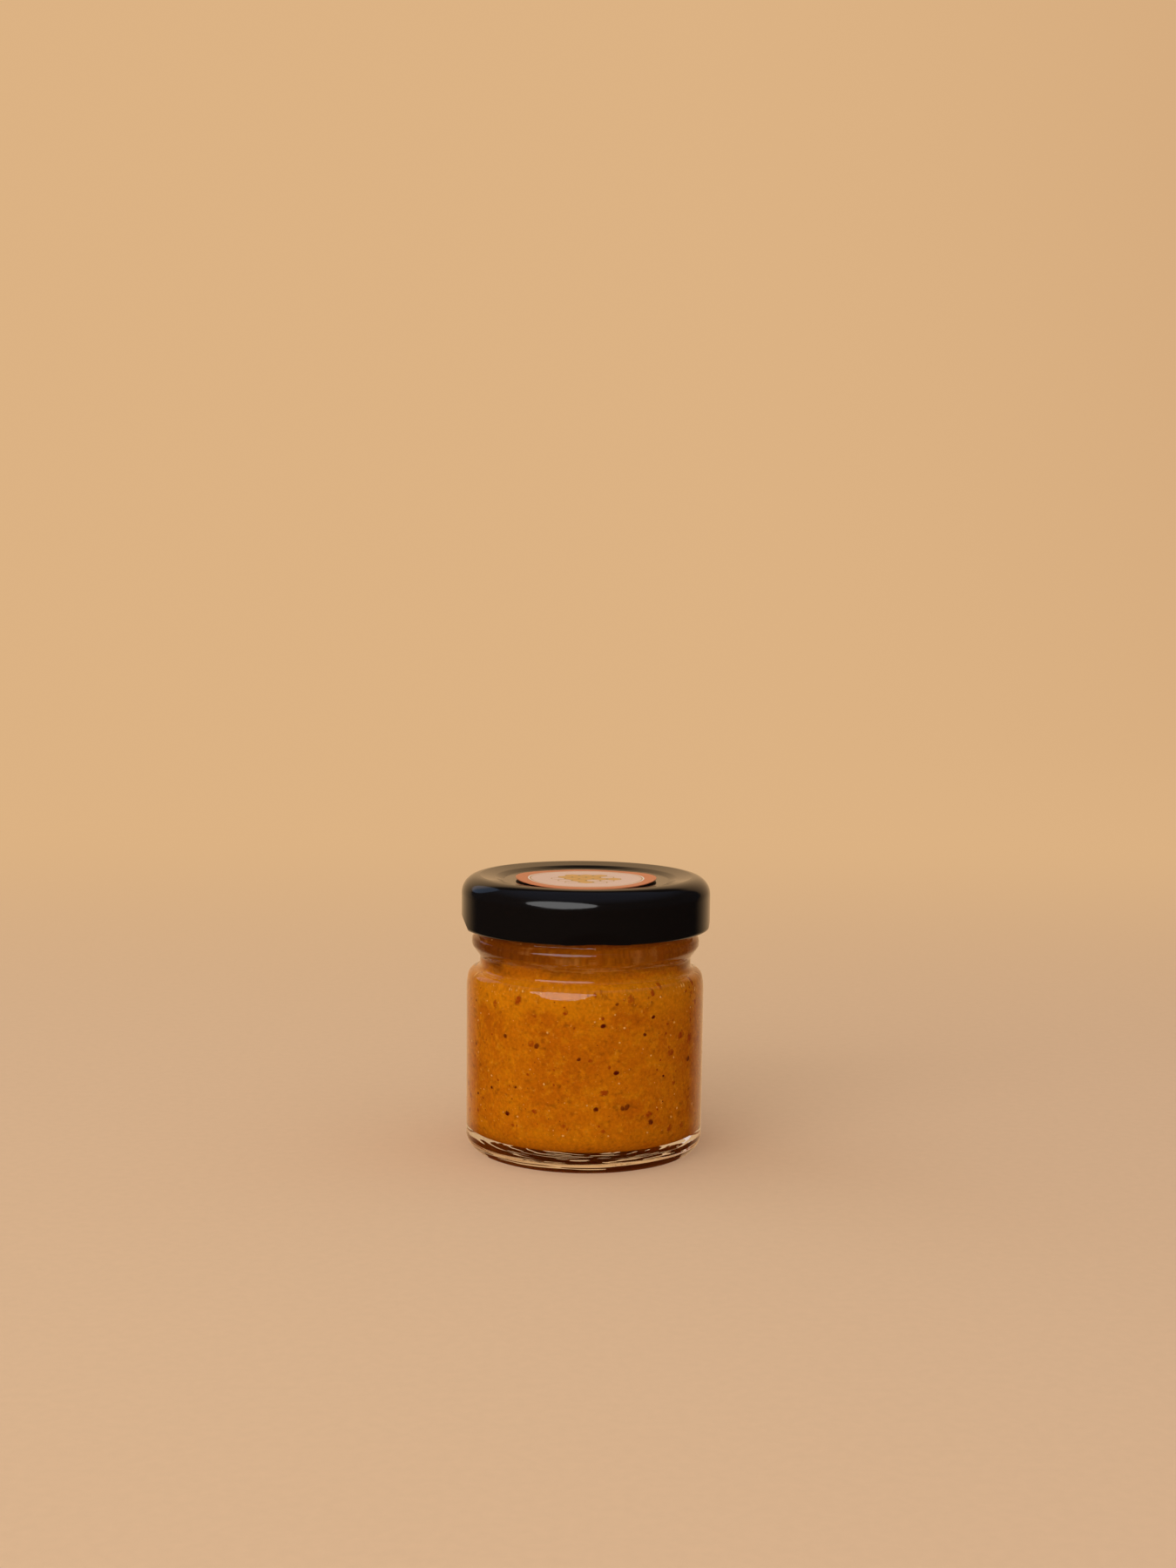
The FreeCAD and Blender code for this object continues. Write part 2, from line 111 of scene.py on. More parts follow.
def map_between(tree, value, low, high, first, last):
    """first at low and last at high, in a straight line between them."""
    return add_node(tree, "ShaderNodeMapRange", None, Value=value, From_Min=low, From_Max=high,
                    To_Min=first, To_Max=last).outputs[0]


def split_place(tree, place):
    """The X, Y and Z of a place."""
    parts = add_node(tree, "ShaderNodeSeparateXYZ", None, Vector=place).outputs
    return parts["X"], parts["Y"], parts["Z"]


def grain(tree, place, size, detail=2.0, roughness=0.5, stretch=(1, 1, 1), distortion=0.0):
    """Soft noise whose blobs are about this size in millimetres."""
    scaled = add_node(tree, "ShaderNodeMapping", None, Vector=place, Scale=stretch).outputs[0]
    return add_node(tree, "ShaderNodeTexNoise", {"noise_dimensions": "3D"}, Vector=scaled,
                    Scale=0.7 / (size * MM), Detail=detail, Roughness=roughness,
                    Distortion=distortion).outputs["Fac"]


def honey_colours():
    """The honey's colour over its surface, with painted shade in the neck, as a group, because the flakes in
    it melt into it too.
    """
    group = bpy.data.node_groups.new("honey_colours", "ShaderNodeTree")
    group.interface.new_socket("Place", in_out="INPUT", socket_type="NodeSocketVector")
    group.interface.new_socket("Colour", in_out="OUTPUT", socket_type="NodeSocketColor")
    group.interface.new_socket("Grain", in_out="OUTPUT", socket_type="NodeSocketFloat")
    place = group.nodes.new("NodeGroupInput").outputs["Place"]

    amber = (0.450, 0.121, 0.0018, 1)
    russet = (0.395, 0.096, 0.0016, 1)
    yellow = (0.530, 0.172, 0.0022, 1)
    umber_stains_and_shade = (0.150, 0.034, 0.0014, 1)
    cream = (0.640, 0.265, 0.0300, 1)
    tan = (0.400, 0.150, 0.0300, 1)

    clouds = grain(group, place, 6, detail=3)
    colour = blend_colours(group, step_between(group, clouds, 0.38, 0.62), russet, amber)

    sideways, _, height = split_place(group, place)
    uneven = calculate(group, "MULTIPLY_ADD", clouds, 10 * MM, -5 * MM)
    level = calculate(group, "ADD", height, uneven)
    under_shoulder = calculate(group, "MULTIPLY", step_between(group, level, 27 * MM, 30 * MM),
                               step_between(group, level, 35 * MM, 33 * MM))
    near_floor = step_between(group, level, 9 * MM, 6 * MM)
    golden = calculate(group, "MAXIMUM", under_shoulder, near_floor)
    colour = lay_on(group, golden, 0.6, colour, yellow)
    # Painted shade in the neck: the share of umber for the lid's shadow, larger towards the left.
    in_neck = step_between(group, level, 34 * MM, 37 * MM)
    neck_shade_share = map_between(group, sideways, 0.0, -14 * MM, 0.62, 1.0)

    patches = grain(group, place, 1.2, detail=4, roughness=0.65)
    colour = lay_on(group, step_between(group, patches, 0.46, 0.66), 0.55, colour, yellow)
    stains = grain(group, place, 1.1, detail=4, roughness=0.55, stretch=(1, 1, 1.2))
    colour = lay_on(group, step_between(group, stains, 0.56, 0.72), 0.45, colour, umber_stains_and_shade)
    wisps = grain(group, place, 0.6, detail=5, roughness=0.7, distortion=0.5)
    colour = lay_on(group, step_between(group, wisps, 0.58, 0.72), 0.5, colour, cream)
    # Painted shade: umber laid over the honey in the neck for the lid's shadow, more strongly towards the
    # left.
    colour = lay_on(group, in_neck, neck_shade_share, colour, umber_stains_and_shade)
    smears = grain(group, place, 1.4, detail=4, roughness=0.6, stretch=(0.5, 0.5, 2.2))
    smeared = calculate(group, "MULTIPLY", in_neck, step_between(group, smears, 0.50, 0.68))
    colour = lay_on(group, smeared, 0.45, colour, tan)
    crystals = grain(group, place, 0.40, detail=3, roughness=0.65)
    light = map_between(group, crystals, 0.25, 0.75, 0.74, 1.28)
    colour = blend_colours(group, 1.0, colour, light, "MULTIPLY")

    result = group.nodes.new("NodeGroupOutput")
    group.links.new(colour, result.inputs["Colour"])
    group.links.new(crystals, result.inputs["Grain"])
    return group


HONEY_COLOURS = honey_colours()


def honey_material():
    """Set honey: no gloss of its own behind the glass, and light that spreads a little way in it."""
    material, tree = new_material("creamed_honey")
    place = tree.nodes.new("ShaderNodeTexCoord").outputs["Object"]
    look = add_node(tree, "ShaderNodeGroup", {"node_tree": HONEY_COLOURS}, Place=place)
    bump = add_node(tree, "ShaderNodeBump", None, Strength=0.35, Distance=0.05 * MM,
                    Height=look.outputs["Grain"])
    shader = add_node(tree, "ShaderNodeBsdfPrincipled", None, Base_Color=look.outputs["Colour"],
                      Roughness=0.6, Normal=bump.outputs[0], Specular_IOR_Level=0.0,
                      Subsurface_Weight=0.25, Subsurface_Radius=(1.0, 0.35, 0.05),
                      Subsurface_Scale=1.2 * MM)
    show_shader(tree, shader)
    return material


def deselect_all():
    """Leave edit mode if need be, with nothing selected."""
    if bpy.context.mode != "OBJECT":
        bpy.ops.object.mode_set(mode="OBJECT")
    bpy.ops.object.select_all(action="DESELECT")


def apply_modifier(piece, kind, **settings):
    """Add a modifier and apply it, so that the mesh holds its result."""
    deselect_all()
    piece.select_set(True)
    bpy.context.view_layer.objects.active = piece
    modifier = piece.modifiers.new(kind.lower(), kind)
    for name, value in settings.items():
        setattr(modifier, name, value)
    bpy.ops.object.modifier_apply(modifier=modifier.name)


HONEY_REACH = 0.1 * MM      # into the wall of the glass
NECK_BORE = 17.6 * MM       # radius of the honey's top
SWIRL_HEIGHT = 0.35 * MM
SWIRL_PITCH = 2.1 * MM
honey_low, honey_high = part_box("honey")


def spoon_swirl(x, y):
    """Height of the spooned top over its level, which dies out before it meets the glass."""
    radius = math.hypot(x, y)
    fade = max(0.0, 1 - (radius / NECK_BORE) ** 4)
    return SWIRL_HEIGHT * fade * math.sin(radius / SWIRL_PITCH - 1.5 * math.atan2(y, x))


def model_honey():
    """A finely ringed drum, drawn in onto the shape of the filling and swirled on top."""
    deselect_all()
    radius = honey_high.x
    height = honey_high.z - honey_low.z
    bpy.ops.mesh.primitive_cylinder_add(vertices=144, radius=radius, depth=height,
                                        location=(0, 0, honey_low.z + height / 2))
    honey = bpy.context.object
    honey.name = honey.data.name = "honey_fill"
    bpy.ops.object.transform_apply()

    bpy.ops.object.mode_set(mode="EDIT")
    ring_gap = 0.9 * MM
    end_rings = 20
    for ring in range(1, int(height / ring_gap)):
        bpy.ops.mesh.select_all(action="SELECT")
        bpy.ops.mesh.bisect(plane_co=(0, 0, honey_low.z + ring * ring_gap), plane_no=(0, 0, 1))
    bpy.ops.mesh.select_all(action="DESELECT")
    bpy.ops.object.mode_set(mode="OBJECT")
    for face in honey.data.polygons:
        face.select = abs(face.normal.z) > 0.9
    bpy.ops.object.mode_set(mode="EDIT")
    for ring in range(end_rings):
        bpy.ops.mesh.inset(thickness=radius / (end_rings + 1), use_even_offset=False)
    apply_modifier(honey, "SHRINKWRAP", target=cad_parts["honey"],
                   wrap_method="NEAREST_SURFACEPOINT", wrap_mode="OUTSIDE_SURFACE", offset=HONEY_REACH)
    for point in honey.data.vertices:
        if point.co.z > honey_high.z - 0.01 * MM:
            point.co.z += spoon_swirl(point.co.x, point.co.y)
    bpy.ops.object.shade_smooth_by_angle(angle=math.radians(50))
    honey.data.materials.append(honey_material())
    return honey


honey = model_honey()
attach(honey, "root")
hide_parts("honey")

# ---------------------------------------------------------------------------------------------------
# Dark specks. Bits of comb and propolis in the honey, from dust to about a millimetre, lying against
# the glass. Each is a small lump, flattened there, whose rim sinks into the honey.
# ---------------------------------------------------------------------------------------------------


def model_lump(name, rounds, flatness):
    """A flattened lump 1 m across, with its rise out of the honey kept as the attribute "rise"."""
    deselect_all()
    bpy.ops.mesh.primitive_ico_sphere_add(subdivisions=rounds, radius=0.5)
    lump = bpy.context.object
    lump.name = lump.data.name = name
    bpy.ops.object.mode_set(mode="EDIT")
    bpy.ops.mesh.select_all(action="SELECT")
    bpy.ops.transform.resize(value=(1, 1, flatness))
    bpy.ops.object.mode_set(mode="OBJECT")
    rise = lump.data.attributes.new("rise", "FLOAT", "POINT")
    for point, value in zip(lump.data.vertices, rise.data):
        value.value = max(0.0, point.co.z / (0.5 * flatness))
    return lump


HONEY_SURFACE = BVHTree.FromObject(honey, bpy.context.evaluated_depsgraph_get())
OUTSIDE_JAR = 30    # a radius in mm from which the nearest honey is straight inwards


def place_on_honey(lump, degrees, height, size, turn):
    """A copy of a lump against the glass: degrees from the front towards the right, height in mm."""
    copy = lump.copy()
    copy.data = lump.data.copy()
    bpy.context.scene.collection.objects.link(copy)
    around = math.radians(degrees)
    outside = Vector((math.sin(around), -math.cos(around), 0)) * OUTSIDE_JAR * MM
    spot, normal, _, _ = HONEY_SURFACE.find_nearest(outside + Vector((0, 0, height * MM)))
    scale = Matrix.Diagonal((size * MM, 0.8 * size * MM, size * MM, 1))
    copy.matrix_world = (Matrix.Translation(spot) @ normal.to_track_quat("Z", "Y").to_matrix().to_4x4()
                         @ Matrix.Rotation(turn, 4, "Z") @ scale)
    return copy


def scatter(lump, chance, count, degrees, heights, least, spread, rarity):
    """Copies strewn by chance over a range of degrees and heights. The higher the rarity, the rarer the
    large ones."""
    return [place_on_honey(lump, chance.uniform(*degrees), chance.uniform(*heights),
                           least + spread * chance.random() ** rarity, chance.uniform(0, math.tau))
            for _ in range(count)]


def join_copies(name, copies, roughen):
    """The copies as one piece at the origin, each made uneven by the same noise."""
    deselect_all()
    for copy in copies:
        copy.select_set(True)
    bpy.context.view_layer.objects.active = copies[0]
    bpy.ops.object.transform_apply(location=True, rotation=True, scale=True)
    bpy.ops.object.join()
    piece = bpy.context.object
    piece.name = piece.data.name = name
    clouds = bpy.data.textures.new(name, "CLOUDS")
    clouds.noise_scale = 0.4 * MM
    apply_modifier(piece, "DISPLACE", texture=clouds, texture_coords="GLOBAL", strength=roughen * MM,
                   mid_level=0.5)
    bpy.ops.object.shade_smooth()
    return piece


def sunk_material(name, colour, low, high, ragged=0.5):
    """The honey's own colour at a lump's ragged rim, and the lump's colour where it rises out of it."""
    material, tree = new_material(name)
    place = tree.nodes.new("ShaderNodeTexCoord").outputs["Object"]
    look = add_node(tree, "ShaderNodeGroup", {"node_tree": HONEY_COLOURS}, Place=place)
    rise = add_node(tree, "ShaderNodeAttribute", {"attribute_name": "rise"}).outputs["Fac"]
    mottle = grain(tree, place, 0.35, detail=3, roughness=0.6)
    uneven = calculate(tree, "MULTIPLY_ADD", mottle, ragged, calculate(tree, "SUBTRACT", rise, ragged / 2))
    near_glass = map_between(tree, grain(tree, place, 3), 0.4, 0.6, 0.75, 1.0)
    share = calculate(tree, "MULTIPLY", step_between(tree, uneven, low, high), near_glass)
    mixed = blend_colours(tree, share, look.outputs["Colour"], colour)
    shader = add_node(tree, "ShaderNodeBsdfPrincipled", None, Base_Color=mixed, Roughness=0.6,
                      Specular_IOR_Level=0.0)
    show_shader(tree, shader)
    return material


ALL_ROUND = (0, 360)
BACK_HALF = (75, 285)
RIM = 1.35      # how much wider a speck is than its dark middle

# The largest specks: degrees from the front towards the right, height and width of the middle in mm.
LARGE_SPECKS = [
    (19, 12.0, 0.75), (21.5, 12.2, 0.95), (-24, 23, 0.9), (9, 27, 0.8), (16, 18.5, 0.85), (35, 9, 1.0),
    (6, 12, 0.8), (-41, 10, 0.9), (62, 19, 0.9), (-43, 24, 0.75), (36, 28, 0.65), (-3, 21, 0.6),
    (31, 25, 0.6), (-52, 14, 0.5), (-36, 15, 0.5), (-68, 21, 0.5), (-65, 12, 0.5), (-17, 43, 0.5),
    (16, 31, 0.5), (-68, 29, 0.45), (43, 17, 0.4), (-27, 42, 0.5),
]


def model_specks():
    """The large specks in their places, others behind, and dust all round."""
    chance = random.Random(7)
    lump = model_lump("speck_lump", 2, 0.36)
    copies = [place_on_honey(lump, degrees, height, RIM * size, chance.uniform(0, math.tau))
              for degrees, height, size in LARGE_SPECKS]
    copies += scatter(lump, chance, 46, BACK_HALF, (7, 45), 0.35, 0.65, 3)
    copies += scatter(lump, chance, 240, ALL_ROUND, (4.5, 46), 0.12, 0.22, 2)
    bpy.data.objects.remove(lump)
    specks = join_copies("comb_specks", copies, 0.12)
    specks.data.materials.append(
        sunk_material("comb_bits", (0.075, 0.0050, 0.0006, 1), 0.0, 0.85, ragged=0.9))
    return specks


specks = model_specks()
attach(specks, "root")

# ---------------------------------------------------------------------------------------------------
# Rust-brown flakes. Thin scraps of wax and pollen, a millimetre or two across, that blur into the
# honey round them.
# ---------------------------------------------------------------------------------------------------


def model_flakes():
    """Thin, ragged flakes strewn all round."""
    chance = random.Random(19)
    lump = model_lump("flake_lump", 2, 0.12)
    copies = scatter(lump, chance, 210, ALL_ROUND, (5, 46), 0.5, 1.7, 3)
    bpy.data.objects.remove(lump)
    flakes = join_copies("pollen_flakes", copies, 0.08)
    flakes.data.materials.append(
        sunk_material("pollen_rust", (0.270, 0.040, 0.0010, 1), 0.15, 1.0, ragged=2.4))
    return flakes


flakes = model_flakes()
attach(flakes, "root")

# ---------------------------------------------------------------------------------------------------
# Crystals. Grains of set sugar, a few tenths of a millimetre, that glint pale where they lie against
# the glass.
# ---------------------------------------------------------------------------------------------------


def model_crystals():
    """Small grains strewn all round, a few of them larger."""
    chance = random.Random(31)
    lump = model_lump("crystal_lump", 1, 0.5)
    copies = scatter(lump, chance, 900, ALL_ROUND, (4.5, 46), 0.12, 0.55, 4)
    bpy.data.objects.remove(lump)
    crystals = join_copies("sugar_crystals", copies, 0.05)
    crystals.data.materials.append(sunk_material("pale_sugar", (0.800, 0.400, 0.090, 1), 0.05, 1.0))
    return crystals


crystals = model_crystals()
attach(crystals, "root")

# ---------------------------------------------------------------------------------------------------
# Glass. A moulded soda-lime jar, clear, and slightly wavy from the mould, as such jars are. Its thick
# foot is tinted amber as painted light from the honey above it. It is the jar of the imported model, in
# its own finish.
# ---------------------------------------------------------------------------------------------------


def flat_distance(tree, x, y):
    """How far a place is from the Z axis."""
    return calculate(tree, "SQRT", calculate(tree, "MULTIPLY_ADD", x, x, calculate(tree, "MULTIPLY", y, y)))


def glass_material():
    """Clear glass with a wavy face and long mould lines round its foot, which is tinted amber as painted
    light from the honey. It lets lamps light the honey.
    """
    material, tree = new_material("clear_glass")
    place = tree.nodes.new("ShaderNodeTexCoord").outputs["Object"]
    waves = grain(tree, place, 5, detail=1, stretch=(1, 1, 0.6))
    ripples = grain(tree, place, 1.3, detail=2, stretch=(1, 1, 0.5))
    relief = calculate(tree, "MULTIPLY_ADD", ripples, 0.12, waves)
    x, y, z = split_place(tree, place)
    radius = flat_distance(tree, x, y)
    turn = 2.2 * MM     # a small circle walked once for each turn round the jar draws the lines out long
    around = add_node(tree, "ShaderNodeCombineXYZ", None,
                      X=calculate(tree, "MULTIPLY", calculate(tree, "DIVIDE", x, radius), turn),
                      Y=calculate(tree, "MULTIPLY", calculate(tree, "DIVIDE", y, radius), turn),
                      Z=calculate(tree, "MULTIPLY", calculate(tree, "ADD", radius, z), 1.6))
    mould_lines = grain(tree, around.outputs[0], 1.3, detail=1)
    in_foot = step_between(tree, z, 3.4 * MM, 2.2 * MM)
    relief = calculate(tree, "MULTIPLY_ADD", calculate(tree, "MULTIPLY", mould_lines, in_foot), 3.2, relief)
    bump = add_node(tree, "ShaderNodeBump", None, Strength=1.0, Distance=0.05 * MM, Height=relief)
    # Painted light: the foot is tinted amber for the honey's light it carries.
    glass_tint_and_honey_glow = blend_colours(tree, in_foot, (0.97, 0.985, 0.96, 1), (0.955, 0.840, 0.660, 1))
    shader = add_node(tree, "ShaderNodeBsdfPrincipled", None, Base_Color=glass_tint_and_honey_glow,
                      Roughness=0.015, IOR=1.5, Transmission_Weight=1.0, Normal=bump.outputs[0])
    see_through = add_node(tree, "ShaderNodeBsdfTransparent", None, Color=(0.93, 0.93, 0.93, 1))
    path = tree.nodes.new("ShaderNodeLightPath")
    passes = calculate(tree, "MAXIMUM", path.outputs["Is Shadow Ray"], path.outputs["Is Diffuse Ray"])
    mixed = add_node(tree, "ShaderNodeMixShader", None, _0=passes, _1=shader.outputs[0],
                     _2=see_through.outputs[0])
    show_shader(tree, mixed)
    return material


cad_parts["glass_jar"].material_slots[0].material = glass_material()

# ---------------------------------------------------------------------------------------------------
# Lid. A twist-off lid pressed from tinplate, with its edge rolled under and lugs pressed in that hook
# beneath the jar's threads. Stoved black enamel, glossy, with a slight orange peel.
# ---------------------------------------------------------------------------------------------------


def enamel_material():
    """Glossy black with a faint orange peel and a slightly uneven polish."""
    material, tree = new_material("black_enamel")
    place = tree.nodes.new("ShaderNodeTexCoord").outputs["Object"]
    peel = grain(tree, place, 0.5, detail=1)
    haze = grain(tree, place, 4, detail=4)
    bump = add_node(tree, "ShaderNodeBump", None, Strength=0.12, Distance=0.02 * MM, Height=peel)
    rough = map_between(tree, haze, 0.3, 0.7, 0.08, 0.12)
    shader = add_node(tree, "ShaderNodeBsdfPrincipled", None, Base_Color=(0.0045, 0.0032, 0.0026, 1),
                      Roughness=rough, IOR=1.5, Normal=bump.outputs[0])
    show_shader(tree, shader)
    return material


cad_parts["lid"].material_slots[0].material = enamel_material()

# ---------------------------------------------------------------------------------------------------
# Sticker. Round printed paper with a satin varnish, stuck on the lid's panel: a coral border with a
# white and a gold line, round a pale centre with a comb of wax cells.
# ---------------------------------------------------------------------------------------------------


def vector_math(tree, operation, *values):
    """The node of a Vector Math operation on two or three vectors."""
    inputs = {f"_{i}": value for i, value in enumerate(values)}
    return add_node(tree, "ShaderNodeVectorMath", {"operation": operation}, **inputs)


def comb_cells(tree, place, width):
    """Hexagonal cells: the way from a cell's middle to the point, and the middle itself."""
    half = (width / 2, width * math.sqrt(3) / 2, 0.5)
    flat = vector_math(tree, "MULTIPLY", place, (1, 1, 0)).outputs[0]
    offsets = []
    for shift in ((0, 0, 0), half):
        moved = vector_math(tree, "SUBTRACT", flat, shift).outputs[0]
        wrapped = vector_math(tree, "WRAP", moved, half, tuple(-side for side in half)).outputs[0]
        offsets.append(vector_math(tree, "MULTIPLY", wrapped, (1, 1, 0)).outputs[0])
    near = [vector_math(tree, "LENGTH", offset).outputs["Value"] for offset in offsets]
    first = calculate(tree, "LESS_THAN", near[0], near[1])
    offset = add_node(tree, "ShaderNodeMix", {"data_type": "VECTOR"}, _0=first, _4=offsets[1],
                      _5=offsets[0]).outputs[1]
    middle = vector_math(tree, "SUBTRACT", flat, offset).outputs[0]
    nudged = vector_math(tree, "ADD", middle, tuple(side / 2 for side in half)).outputs[0]
    return offset, vector_math(tree, "SNAP", nudged, half).outputs[0]


def sticker_material():
    """Rings of colour from the border inwards, and in the middle the cells of the comb."""
    material, tree = new_material("printed_paper")
    place = tree.nodes.new("ShaderNodeTexCoord").outputs["Object"]
    x, y, _ = split_place(tree, place)
    radius = flat_distance(tree, x, y)
    soft = 0.04 * MM

    def inside(value, limit):
        """1 where a distance is less than a limit in mm."""
        return step_between(tree, value, (limit * MM) + soft, (limit * MM) - soft)

    coral = (0.640, 0.185, 0.068, 1)
    white = (0.82, 0.74, 0.64, 1)
    gold = (0.46, 0.24, 0.05, 1)
    pale = (0.74, 0.49, 0.37, 1)
    colour = blend_colours(tree, inside(radius, 10.75), coral, white)
    colour = blend_colours(tree, inside(radius, 10.5), colour, gold)
    colour = blend_colours(tree, inside(radius, 10.25), colour, pale)

    cell = 2.6      # width across its flats, in mm
    offset, middle = comb_cells(tree, place, cell * MM)
    across = vector_math(tree, "ABSOLUTE", offset).outputs[0]
    slanted = vector_math(tree, "DOT_PRODUCT", across, (0.5, math.sqrt(3) / 2, 0)).outputs["Value"]
    straight = split_place(tree, across)[0]
    reach = calculate(tree, "MAXIMUM", slanted, straight)
    comb = inside(vector_math(tree, "LENGTH", middle).outputs["Value"], 2.1 * cell)
    chance = add_node(tree, "ShaderNodeTexWhiteNoise", {"noise_dimensions": "3D"}, Vector=middle)
    filled = calculate(tree, "GREATER_THAN", chance.outputs["Value"], 0.45)
    wax = blend_colours(tree, filled, pale, (0.70, 0.34, 0.075, 1))
    colour = blend_colours(tree, comb, colour, gold)
    inner = calculate(tree, "MULTIPLY", comb, inside(reach, 0.43 * cell))
    colour = blend_colours(tree, inner, colour, wax)

    fibre = grain(tree, place, 0.15, detail=3)
    light = map_between(tree, fibre, 0.3, 0.7, 0.96, 1.04)
    colour = blend_colours(tree, 1.0, colour, light, "MULTIPLY")
    bump = add_node(tree, "ShaderNodeBump", None, Strength=0.2, Distance=0.01 * MM, Height=fibre)
    shader = add_node(tree, "ShaderNodeBsdfPrincipled", None, Base_Color=colour, Roughness=0.42,
                      Normal=bump.outputs[0])
    show_shader(tree, shader)
    return material


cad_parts["lid_label"].material_slots[0].material = sticker_material()

# ---------------------------------------------------------------------------------------------------
# Stage. A seamless sweep of peach paper, flat under the jar and curved up well behind it. It is no part
# of the object.
# ---------------------------------------------------------------------------------------------------


PAPER_FAR = (0.720, 0.448, 0.228, 1)


def paper_material():
    """Lit paper round the jar that turns into bright paper further off and behind glass, both painted darker
    towards the right as shade. Only what lies behind the jar is mirrored in it; the floor in front mirrors
    dark, as an unlit room would."""
    material, tree = new_material("peach_paper")
    place = tree.nodes.new("ShaderNodeTexCoord").outputs["Object"]
    fibre = grain(tree, place, 1.2, detail=4)
    tone = map_between(tree, fibre, 0.3, 0.7, 0.985, 1.015)
    sideways, behind, height = split_place(tree, place)
    # Painted shade: the lit paper's colour is a little darker towards the right.
    paper = blend_colours(tree, step_between(tree, sideways, -0.10, 0.15), (0.712, 0.480, 0.292, 1),
                          (0.685, 0.460, 0.286, 1))
    colour = blend_colours(tree, 1.0, paper, tone, "MULTIPLY")
    lit = add_node(tree, "ShaderNodeBsdfPrincipled", None, Base_Color=colour, Roughness=0.85,
                   Specular_IOR_Level=0.1)
    path = tree.nodes.new("ShaderNodeLightPath")
    # Painted shade: the bright paper is darker towards the right.
    bright_paper_shaded_right = blend_colours(tree, step_between(tree, sideways, 0.05, 0.95), PAPER_FAR, (0.640, 0.385, 0.195, 1))
    dim = (0.012, 0.011, 0.012, 1)
    jar_side = 20 * MM
    past_side = calculate(tree, "SUBTRACT", calculate(tree, "ABSOLUTE", sideways), jar_side)
    aside = calculate(tree, "MAXIMUM", past_side, 0.0)
    back = calculate(tree, "ADD", behind, jar_side / 2)
    towards_back = step_between(tree, calculate(tree, "DIVIDE", back, flat_distance(tree, aside, back)),
                                0.48, 1.0)
    low_down = step_between(tree, height, 1.7, 1.1)
    mirrored = blend_colours(tree, calculate(tree, "MULTIPLY", towards_back, low_down), dim, bright_paper_shaded_right)
    reflected = calculate(tree, "SUBTRACT", path.outputs["Is Glossy Ray"],
                          path.outputs["Is Transmission Ray"])
    shown = blend_colours(tree, reflected, bright_paper_shaded_right, mirrored)
    bright = add_node(tree, "ShaderNodeEmission", None, Color=shown, Strength=1.0)
    far_off = calculate(tree, "MULTIPLY", path.outputs["Is Camera Ray"],
                        step_between(tree, behind, 0.02, 0.50))
    through = calculate(tree, "MULTIPLY", path.outputs["Is Transmission Ray"], 0.80)
    share = calculate(tree, "MAXIMUM", calculate(tree, "MAXIMUM", far_off, through), reflected)
    mixed = add_node(tree, "ShaderNodeMixShader", None, _0=share, _1=lit.outputs[0], _2=bright.outputs[0])
    show_shader(tree, mixed)
    return material


def model_sweep():
    """A plane whose back edge is spun up a quarter turn and drawn up straight."""
    deselect_all()
    half_width, front, back, bend, top = 1.6, -1.4, 0.95, 0.55, 2.2
    bpy.ops.mesh.primitive_plane_add(size=1, location=(0, 0, 0))
    sweep = bpy.context.object
    sweep.name = sweep.data.name = "paper_sweep"
    for point in sweep.data.vertices:
        point.co.x *= 2 * half_width
        point.co.y = back if point.co.y > 0 else front
    bpy.ops.object.mode_set(mode="EDIT")
    bpy.ops.mesh.select_all(action="DESELECT")
    bpy.ops.object.mode_set(mode="OBJECT")
    for edge in sweep.data.edges:
        edge.select = all(sweep.data.vertices[i].co.y > 0 for i in edge.vertices)
    bpy.ops.object.mode_set(mode="EDIT")
    bpy.ops.mesh.select_mode(type="EDGE")
    bpy.ops.mesh.spin(steps=24, angle=math.radians(90), center=(0, back, bend), axis=(-1, 0, 0))
    bpy.ops.mesh.extrude_region_move(TRANSFORM_OT_translate={"value": (0, 0, top)})
    deselect_all()
    sweep.select_set(True)
    bpy.ops.object.shade_smooth()
    sweep.data.materials.append(paper_material())
    return sweep


sweep = model_sweep()

# ---------------------------------------------------------------------------------------------------
# Light. A large oval soft box in front, to the left, and the faint blue light of a window behind on the
# left, in a plainly lit room that is a little dimmer on the right.
# ---------------------------------------------------------------------------------------------------


def add_soft_box(name, azimuth, elevation, distance, width, depth, watts, colour=(1, 1, 1)):
    """An oval lamp that faces the jar. Azimuth is in degrees from the front towards the right."""
    around, up = math.radians(azimuth), math.radians(elevation)
    towards = Vector((math.sin(around) * math.cos(up), -math.cos(around) * math.cos(up), math.sin(up)))
    lamp = bpy.data.lights.new(name, "AREA")
    lamp.shape = "ELLIPSE"
    lamp.size, lamp.size_y = width, depth
    lamp.energy = watts
    lamp.color = colour
    box = bpy.data.objects.new(name, lamp)
    bpy.context.scene.collection.objects.link(box)
    box.location = towards * distance + Vector((0, 0, 25 * MM))
    box.rotation_euler = towards.to_track_quat("Z", "Y").to_euler()
    return box


add_soft_box("key_soft_box", azimuth=-23, elevation=21.5, distance=1.8, width=2.20, depth=1.25, watts=18)
add_soft_box("side_window", azimuth=-130, elevation=28, distance=1.0, width=0.45, depth=0.55, watts=0.27,
             colour=(0.45, 0.65, 1.0))


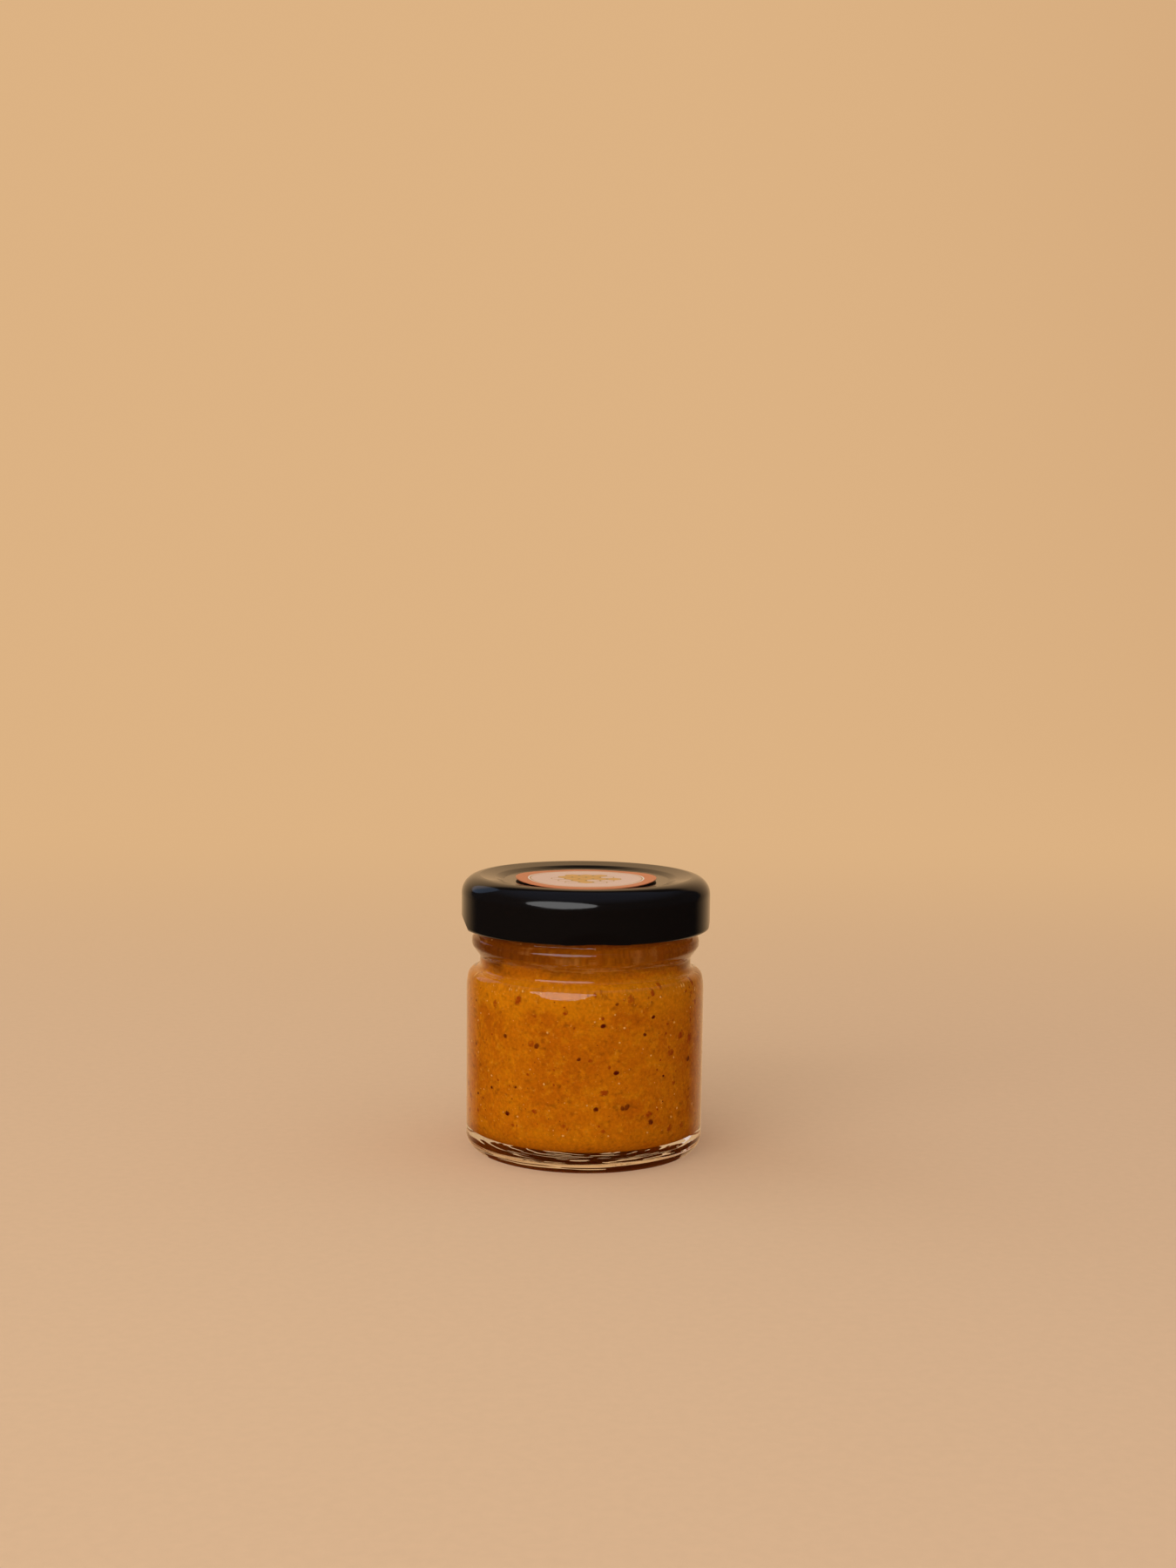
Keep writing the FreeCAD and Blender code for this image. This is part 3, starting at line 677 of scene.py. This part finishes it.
def light_room():
    """Even light on all things, with paper seen past them and a dim room, blue overhead, mirrored."""
    world = bpy.data.worlds.new("room")
    bpy.context.scene.world = world
    world.use_nodes = True
    tree = world.node_tree
    tree.nodes.clear()
    sideways, _, upwards = split_place(tree, tree.nodes.new("ShaderNodeTexCoord").outputs["Generated"])
    level = calculate(tree, "MULTIPLY_ADD", sideways, -0.25, 0.80)
    ambient = add_node(tree, "ShaderNodeBackground", None, Color=(1.0, 0.985, 0.97, 1), Strength=level)
    paper = add_node(tree, "ShaderNodeBackground", None, Color=PAPER_FAR, Strength=1.0)
    ceiling = blend_colours(tree, step_between(tree, upwards, 0.45, 0.95),
                            (0.018, 0.021, 0.028, 1), (0.110, 0.140, 0.210, 1))
    room = add_node(tree, "ShaderNodeBackground", None, Color=ceiling, Strength=1.0)
    path = tree.nodes.new("ShaderNodeLightPath")
    mirrored = add_node(tree, "ShaderNodeMixShader", None, _0=path.outputs["Is Glossy Ray"],
                        _1=ambient.outputs[0], _2=room.outputs[0])
    seen = calculate(tree, "MAXIMUM", path.outputs["Is Camera Ray"], path.outputs["Is Transmission Ray"])
    whole = add_node(tree, "ShaderNodeMixShader", None, _0=seen, _1=mirrored.outputs[0],
                     _2=paper.outputs[0])
    show_shader(tree, whole, "ShaderNodeOutputWorld")


light_room()
bpy.context.scene.view_settings.view_transform = "Standard"

# ---------------------------------------------------------------------------------------------------
# Camera. A 50 mm lens at 0.4 m, a little above the lid and tipped down to the jar, which stands small
# in the frame.
# ---------------------------------------------------------------------------------------------------


def place_camera():
    """The camera faces +Y, tipped down and rolled by a hair, as on a tripod set by hand."""
    lens = bpy.data.cameras.new("camera")
    lens.lens = 50
    lens.sensor_width = 36
    lens.clip_start = 0.01
    camera = bpy.data.objects.new("camera", lens)
    bpy.context.scene.collection.objects.link(camera)
    down, roll = math.radians(5.29), math.radians(0.6)
    turn = Matrix.Rotation(math.radians(90) - down, 4, "X") @ Matrix.Rotation(roll, 4, "Z")
    camera.matrix_world = Matrix.Translation((0.16 * MM, -399.8 * MM, 105.05 * MM)) @ turn
    bpy.context.scene.camera = camera


place_camera()
